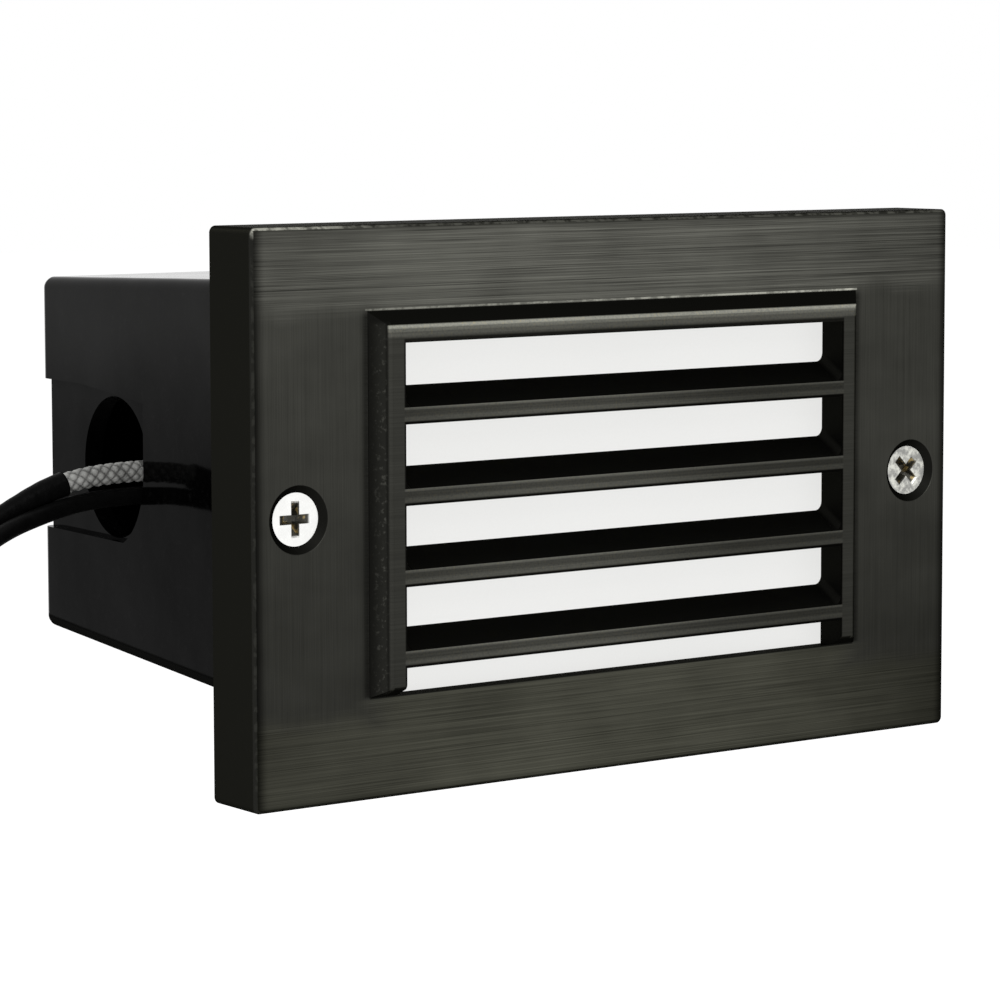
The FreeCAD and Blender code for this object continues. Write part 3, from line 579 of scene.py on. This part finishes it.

# %% [markdown]
# The band above the louvres was rubbed brightest, the one below less, and the sides least.
# Both bands fade towards the plate's ends. The front darkens within about two millimetres of the
# rim, and painted shade darkens it in the corner at the foot of the surround's sides.

# %% Light on the front
PLATE_X, PLATE_Z, SURROUND_X = 65.0, 41.0, 46.0

beside = 0.0355 + z * 0.00035
above = 0.094 - (x + 4) * (x + 4) * 0.0000075
below = 0.057 - (x + 8) * (x + 8) * 0.000007
rubbed = (beside * (1 - top_band) + above * top_band) * (1 - low_band) + below * low_band
off_rim = (PLATE_X - abs(x)).rise(0.2, 2.4) * (PLATE_Z - abs(z)).rise(-0.3, 1.2)
# Painted shade: the front is darkened in the corner at the foot of the surround's sides.
by_side = 1 - (abs(x) - SURROUND_X).rise(0.0, 1.1)
painted_surround_shade = 1 - by_side * (1 - z.rise(28.0, 29.5)) * z.rise(-26.4, -26.0)
face_light = rubbed * (1 + strokes) * (0.16 + off_rim * 0.84) * (0.45 + painted_surround_shade * 0.55)
print("with the front's light there are", len(bronze.tree.nodes), "nodes")

# %% [markdown]
# The top member gets a painted highlight on its rounded upper edge that fades to dark near its
# lower one, standing in for the light and shade of the rounding. The slats get a duller painted
# highlight on their upper edge, a second soft one near the foot and a line of painted shade under
# it. Both are functions of the distance down from the upper edge, and the slats repeat every
# pitch.

# %% Painted light on the raised members
MEMBER_TOP, MEMBER_FOOT = 26.65, (24.28, 24.32)
SLAT_TOP, SLAT_PITCH = 15.1, 11.6


def member_painted_highlight(t):
    """A painted highlight at the upper edge, two softer steps down over two millimetres, and dark
    at the foot.
    """
    steps = 0.18 * (1 - t.rise(0.12, 0.45)) + 0.05 * (1 - t.rise(0.6, 0.95))
    return (steps + 0.07 * (1 - t.rise(1.3, 2.0)) + 0.005) * t.rise(-0.3, -0.05) + 0.004


def slat_painted_light(t):
    """A dull painted highlight at the upper edge, a second soft one near the foot, and a line of
    painted shade under it.
    """
    edge = 0.042 + 0.065 * (1 - t.rise(0.1, 0.5))
    return (edge + 0.03 * t.near(1.6, 0.15, 0.4)) * (1 - t.rise(1.9, 2.12)) + 0.005


under_member = MEMBER_TOP - z
under_slat = (SLAT_TOP - z) % SLAT_PITCH
on_member = z.rise(*MEMBER_FOOT)
on_jamb = abs(x).rise(41.0, 41.3) * (1 - z.rise(24.6, 25.4))
# The slats and the top member get painted highlights and painted shade down their fronts, and the
# slats are darker towards their ends.
slat_light = slat_painted_light(under_slat) * (1.05 - abs(x + 14).rise(4.0, 40.0) * 0.5)
raised_light = slat_light * (1 - on_member) + member_painted_highlight(under_member) * on_member
jamb_light = (0.033 + z * 0.00015) * (1 - (x - 43.2).rise(0.0, 0.3) * 0.5)
raised_light = raised_light * (1 - on_jamb) + jamb_light * on_jamb
grit = bronze.noise(3.2, 2.0, 0.6)
raised_light = raised_light * (1 + strokes * 0.4 + (grit - 0.5) * 0.9 * (1 - on_jamb))
print("slats repeat every", SLAT_PITCH, "mm")

# %% [markdown]
# The front edge of the plate is worn patchy and pale all round, and a painted highlight is added
# along its top edge, strongest towards the left corner. A pale, patchy line runs along the edge
# above the top bevel, brighter towards the right.

# %% Pale edges: rim wear and a painted highlight
BEVEL_TOP = 28.85


def past_rim(start, stop):
    """0 further than start in from the plate's edges, 1 nearer than stop, and a smooth step."""
    wide = abs(x).rise(PLATE_X - start, PLATE_X - stop)
    return wide | abs(z).rise(PLATE_Z - start, PLATE_Z - stop)


patchy = bronze.noise(0.7, 3.0, 0.6).rise(0.38, 0.62)
bevel_edge = z.near(BEVEL_TOP + 0.16, 0.1, 0.1) * (1 - abs(x).rise(45.9, 46.2))
bevel_edge = bevel_edge * (0.34 + x * 0.003)
corner = 1 - (x + bronze.noise(0.3) * 16).rise(-50.0, -32.0)
rim = past_rim(0.54, 0.40) * (1 - y.rise(FRONT_Y + 0.3, FRONT_Y + 0.48))
# Patchy wear along the front edge, with a painted highlight added along its top, strongest
# towards the left corner.
rim_light = rim * (0.022 + z.rise(39.0, 40.6) * (0.05 + corner * 0.26)) * (0.4 + patchy * 0.8)
print("with the worn edges there are", len(bronze.tree.nodes), "nodes")

# %% [markdown]
# What the belt missed keeps its patina, which is nearly black. The left bevel gets painted light
# on top of its patina, growing up its slope, and painted glints where its casting is rough. The
# last step puts the levels of light together, each under the mask of its own faces, and gives the
# metal its colour, gloss and cast skin.

# %% Patina, and painted light on the left bevel
BLACK = (0.0, 0.0, 0.0)

left_bevel = (1 - x.rise(-43.2, -42.9)) * x.rise(-46.2, -46.0) * (1 - y.rise(-11.0, -10.9))
left_bevel = left_bevel * (1 - z.rise(26.6, 27.6))
# Painted glints on the rough casting of the left bevel.
painted_glints = bronze.noise(1.3, 3.0, 0.7).rise(0.54, 0.70) * left_bevel
outside = past_rim(1.1, 0.8)
bevel_rise = FRONT_Y - y
bevel_light = bevel_rise.rise(0.1, 1.9) * (1 - bevel_rise.rise(1.95, 2.25) * 0.75)
# On the left bevel, painted light and glints lie on the patina.
patina_and_painted_bevel_light = 0.0085 + (painted_glints * 0.035 + 0.010) * left_bevel * bevel_light + outside * 0.008
light = patina_and_painted_bevel_light * (1 - (raised | front)) + raised_light * raised + face_light * front
light = (light | bevel_edge * front * (0.5 + patchy * 0.5)) | rim_light
olive = bronze.blend(low_band * front, (1.0, 1.0, 0.87), (1.0, 1.0, 0.78))
tint = bronze.blend(grit.rise(0.55, 0.75) * raised * (1 - on_jamb), olive, (1.0, 0.90, 0.60))
bronze.feed(
    Base_Color=bronze.blend(light, BLACK, tint),
    Roughness=0.46 - strokes * 0.06 + (1 - (raised | front)) * 0.08,
)
cast = bronze.noise(0.9, 4.0, 0.65)
bronze.relief(strokes * front * 0.4 + cast * (1 - front) * (0.25 + left_bevel * 2.2), 0.03, 0.7)
print("bronze uses", len(bronze.tree.nodes), "nodes")

# %% [markdown]
# The housing is a glossy black moulding. Black plastic has almost no colour of its own, so what
# shows is the gloss. Its surface has slow waves from the mould, which bend the reflections, a
# very fine grain and specks of dust. Its colour is painted lighter towards the top, a painted
# sheen in place of reflected light. Its lower long edges are painted dark and dull, a painted
# shade in place of their bright edge reflection. They climb towards the back with the draft.

# %% Glossy black moulding
EDGE_CLIMB, EDGE_Z = 0.0524, (-28.8, -28.2)

moulding = Finish("black_moulding", {
    "IOR": 1.5, "Specular IOR Level": 0.014, "Specular Tint": (0.05, 0.05, 0.05, 1.0),
})
# Painted shade: the lower long edges are made metallic, rough and dark, so they show no bright
# edge reflection.
painted_dull_low_edge = 1 - (moulding.z - moulding.y * EDGE_CLIMB).rise(*EDGE_Z)
dust = moulding.noise(0.9, 4.0, 0.7).rise(0.50, 0.9)
# Painted sheen: the colour grows lighter towards the top, in place of reflected light.
painted_top_sheen = (moulding.z + moulding.noise(0.04) * 16).rise(12.0, 34.0)
black = moulding.blend(
    painted_top_sheen * 0.75 + dust * 0.25, (0.0008, 0.0008, 0.0008), (0.022, 0.022, 0.0215)
)
moulding.feed(
    Base_Color=moulding.blend(painted_dull_low_edge, black, (0.011, 0.011, 0.0105)),
    Roughness=0.05 + dust * 0.1 + moulding.noise(0.03, 2.0) * 0.05 + painted_dull_low_edge * 0.75,
    Metallic=painted_dull_low_edge,
)
waves = moulding.noise(0.055, 2.0, 0.4) + moulding.noise(0.9, 2.0) * 0.012
moulding.relief(waves, 0.55, 0.5)
print("moulding uses", len(moulding.tree.nodes), "nodes")

# %% [markdown]
# The lens is frosted glass with the lamp behind it. Its glow is painted on as emission in place
# of the lamp's light, and is almost even: a frosted pane hides the lamp, and only a faint painted
# cloud shows in its light.

# %% Frosted lens with a painted glow
lens_glass = Finish("lens_painted_glow", {"IOR": 1.5, "Emission Strength": 1.0, "Roughness": 0.5})
painted_glow_cloud = lens_glass.noise((0.02, 0.02, 0.03), 2.0)
frost = lens_glass.noise(4.0, 2.0)
lens_glass.feed(
    Base_Color=lens_glass.blend(frost, (0.10, 0.10, 0.10), (0.14, 0.14, 0.137)),
    # Painted glow: the emission stands in for the lamp behind the lens.
    Emission_Color=lens_glass.blend(painted_glow_cloud, (0.715, 0.715, 0.70), (0.765, 0.765, 0.755)),
)
lens_glass.relief(frost, 0.02, 0.5)
print("lens uses", len(lens_glass.tree.nodes), "nodes")

# %% [markdown]
# The two plate screws are bright steel, and the right head is the duller one. A head is
# turned, so fine rings run round its axis, and the cross recess holds brownish grease. Both
# screws lie at the same distance from the middle, so the distance from an axis takes the
# absolute value of x.

# %% Screw steel
SCREW_X, RECESS_R = 57.4, (2.6, 2.75)
RECESS_MOUTH_Y, RECESS_END_Y = (-9.78, -9.5), (-7.6, -7.4)

steel = Finish("screw_steel", {"IOR": 2.2})
off_axis = ((abs(steel.x) - SCREW_X) ** 2.0 + steel.z ** 2.0) ** 0.5
turned = steel.node(
    "ShaderNodeTexNoise", {"noise_dimensions": "1D"}, {"W": off_axis, "Scale": 9.0, "Detail": 3.0}
)
mottle = steel.noise(0.8, 4.0, 0.7)
recess = steel.y.rise(*RECESS_MOUTH_Y) * (1 - off_axis.rise(*RECESS_R))
grease = recess * (1 - steel.y.rise(*RECESS_END_Y)) * (0.8 + mottle * 0.4)
yellowed = steel.noise(0.9, 2.0).rise(0.54, 0.66)
metal = steel.blend(turned * 0.4 + mottle * 0.8, (0.74, 0.74, 0.73), (0.98, 0.98, 0.955))
# The right head is darker and mottled.
right_head_mottle = steel.blend(mottle.rise(0.4, 0.62), (0.12, 0.12, 0.105), (0.62, 0.62, 0.55))
metal = steel.blend(steel.x.rise(0.0, 1.0) * 0.75, metal, right_head_mottle)
dirt = steel.blend(yellowed, (0.022, 0.020, 0.010), (0.34, 0.25, 0.09))
steel.feed(
    Base_Color=steel.blend(grease, metal, dirt),
    Metallic=1.0 - grease * 0.3,
    Roughness=0.26 + mottle * 0.14 + grease * 0.2,
)
steel.relief(turned * 0.4 + mottle * 0.8, 0.03, 0.5)
print("steel uses", len(steel.tree.nodes), "nodes")

# %% [markdown]
# The other finishes follow one pattern: two close colours mixed by noise at the grain of the
# real material, a roughness that follows the same noise, and a shallow relief. A row of the
# table gives a slot, a name, the dark and the pale colour, the features in a millimetre, the
# least and greatest roughness, the relief in millimetres, and what else the shader needs.

# %% Simple finishes
GRAIN_DETAIL, GRAIN_ROUGH, GRAIN_STRENGTH = 3.0, 0.55, 0.6
METAL = {"Metallic": 1.0}


def grained(name, dark, pale, per_mm, rough, depth, constants):
    """Two close colours, a roughness from rough[0] to rough[1] and a relief, from one noise."""
    made = Finish(name, constants)
    grain = made.noise(per_mm, GRAIN_DETAIL, GRAIN_ROUGH)
    made.feed(
        Base_Color=made.blend(grain, dark, pale),
        Roughness=rough[0] + grain * (rough[1] - rough[0]),
    )
    return made.relief(grain, depth, GRAIN_STRENGTH)


GRAINED = (
    ("silicone", "sealant", (0.50, 0.50, 0.47), (0.70, 0.70, 0.68),
     0.5, (0.35, 0.5), 0.15, {}),
    ("foam", "gasket_foam", (0.012, 0.012, 0.012), (0.05, 0.05, 0.05),
     2.4, (0.85, 1.0), 0.12, {}),
    ("brass_insert", "turned_brass", (0.50, 0.36, 0.14), (0.72, 0.55, 0.27),
     (0.6, 6.0, 0.6), (0.22, 0.4), 0.01, METAL),
    ("white_sheet", "white_paint", (0.76, 0.76, 0.74), (0.86, 0.86, 0.845),
     0.8, (0.3, 0.45), 0.03, {"Coat Weight": 0.3}),
    ("zinc", "zinc_plate", (0.42, 0.43, 0.44), (0.66, 0.67, 0.68),
     0.45, (0.25, 0.45), 0.01, METAL),
    ("ceramic", "steatite", (0.74, 0.71, 0.63), (0.86, 0.83, 0.76),
     1.6, (0.6, 0.8), 0.03, {}),
    ("quartz", "lamp_glass", (0.90, 0.92, 0.93), (0.97, 0.98, 0.99),
     0.1, (0.0, 0.05), 0.02, {"Transmission Weight": 1.0, "IOR": 1.46}),
    ("pin_metal", "lamp_wire", (0.52, 0.51, 0.50), (0.74, 0.73, 0.71),
     (0.6, 4.0, 4.0), (0.2, 0.4), 0.005, METAL),
    ("rubber_black", "grommet_rubber", (0.014, 0.014, 0.015), (0.035, 0.035, 0.036),
     1.2, (0.5, 0.7), 0.03, {}),
    ("shrink", "shrunk_sleeve", (0.0015, 0.0015, 0.0015), (0.005, 0.005, 0.005),
     0.9, (0.30, 0.5), 0.25, {"Specular IOR Level": 0.02}),
    ("lead_black", "lead_insulation", (0.0015, 0.0015, 0.0015), (0.005, 0.005, 0.005),
     0.7, (0.3, 0.45), 0.12, {"Specular IOR Level": 0.03}),
    ("tinned", "tinned_copper", (0.58, 0.56, 0.53), (0.80, 0.78, 0.74),
     3.0, (0.22, 0.4), 0.01, METAL),
)
FINISHES = {
    "bronze": bronze, "black_moulding": moulding, "frosted_glass": lens_glass,
    "screw_steel": steel,
}
for slot, *row in GRAINED:
    FINISHES[slot] = grained(*row)
print(len(FINISHES), "finishes")

# %% [markdown]
# The glass-fibre yarns are off-white on their crests and darker in the grooves between them, a
# painted shade, with soiled grey patches from noise. The sleeve's own map gives the turn round it
# and the millimetres along it, so the same two rows of ridges that raised the surface are worked
# out again for its colour.

# %% Glass fibre
fibre = Finish("glass_fibre", {"Roughness": 0.75, "Specular IOR Level": 0.3})
sleeve_map = fibre.node("ShaderNodeTexCoord", {}, {}, "UV")
turn, far, _ = fibre.split(sleeve_map)
half_turns = turn * (math.pi * YARNS)
half_steps = far * (math.pi * YARNS / BRAID_PITCH)
crest = abs((half_turns + half_steps).wave() * (half_turns - half_steps).wave()) ** 0.5
filaments = fibre.noise((40.0, 6.0, 1.0), 3.0, 0.6, where=sleeve_map)
soiled = fibre.noise(0.35, 3.0)
# Painted light on the crests and painted shade in the grooves, with soiled patches from noise.
painted_crest_light_and_soil = (crest * 0.8 + (filaments - 0.5) * 1.1 + (soiled - 0.5) * 1.1).rise(-0.1, 1.0)
fibre.feed(Base_Color=fibre.blend(painted_crest_light_and_soil, (0.09, 0.09, 0.086), (0.47, 0.47, 0.45)))
fibre.relief(filaments, 0.05, 0.6)
FINISHES["fibreglass"] = fibre
print("glass fibre uses", len(fibre.tree.nodes), "nodes")

# %% [markdown]
# Every solid that shows keeps its shape and takes the finish of its slot, and the new pieces
# take theirs in the same way.

# %% Dress every piece
def dress(piece, slot):
    """The slot's finish, as the piece's one material."""
    piece.data.materials.clear()
    piece.data.materials.append(FINISHES[slot].material)


slot_of = {p["node"]: p["material_slot"] for p in frame["record"]["subparts"]}
for node, solid in frame["nodes"].items():
    dress(solid, slot_of[node])
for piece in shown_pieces():
    if piece.name not in frame["nodes"]:
        slot = piece.get("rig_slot", "lead_black")
        dress(piece, slot)
        print(piece.name, "is", slot)

# %% [markdown]
# The room is a pale floor under a pale sky. Both look white to the camera and in reflections,
# so that metal and glass show the background too, and both are dimmer as a light, so that the
# light's colours render about as they are written. Light Path tells one ray from another.

# %% Floor and sky
FLOOR_Z, FLOOR_CORNERS = -0.2, ((-4, -3), (4, -3), (4, 5), (-4, 5))
FLOOR_GLOW, SKY_AS_LIGHT = 0.55, 0.55
WHITE = (1, 1, 1, 1)


def seen_by(nodes, first, *others):
    """1 for rays of the kinds named, and 0 for all others."""
    found = nodes.node("ShaderNodeLightPath", {}, {}, first)
    rays = found.socket.node
    for kind in others:
        found = found | Value(nodes, rays.outputs[kind])
    return found


floor_mesh = bpy.data.meshes.new("floor")
floor_mesh.from_pydata([(*corner, FLOOR_Z) for corner in FLOOR_CORNERS], [], [(0, 1, 2, 3)])
floor = add_object("floor", floor_mesh)
pale_floor = Finish("pale_floor", {
    "Base Color": (0.86, 0.86, 0.86, 1), "Roughness": 0.9, "Specular IOR Level": 0.0,
    "Emission Color": WHITE,
})
floor_seen = seen_by(pale_floor, "Is Camera Ray", "Is Glossy Ray")
pale_floor.feed(Emission_Strength=floor_seen * FLOOR_GLOW)
floor.data.materials.append(pale_floor.material)

world = bpy.data.worlds.new("studio")
bpy.context.scene.world = world
sky = Nodes(world)
sky_seen = seen_by(sky, "Is Camera Ray", "Is Glossy Ray", "Is Transmission Ray")
strength = sky.node(
    "ShaderNodeMapRange", {}, {"Value": sky_seen, "To Min": SKY_AS_LIGHT, "To Max": 1.0}
)
sky.fill(sky.tree.nodes["Background"], {"Color": WHITE, "Strength": strength})
print("sky uses", len(sky.tree.nodes), "nodes")

# %% [markdown]
# A large soft lamp stands above on the left, in front of the light. A weaker one, behind it on
# the same side, draws the housing's upper edges.

# %% Lamps
def lamp(name, place, aim, size, power):
    """A square lamp of so many watts that faces a point."""
    data = bpy.data.lights.new(name, "AREA")
    data.shape = "SQUARE"
    data.size, data.energy = size, power
    made = add_object(name, data)
    made.location = place
    made.rotation_euler = (Vector(aim) - Vector(place)).to_track_quat("-Z", "Y").to_euler()


lamp("key", (-0.5, -0.9, 0.9), (0, 0, 0), 0.7, 7.0)
lamp("rim", (-0.6, 0.7, 0.6), (0, 0.03, 0), 0.5, 2.0)
bpy.context.scene.view_settings.view_transform = "Standard"

# %% [markdown]
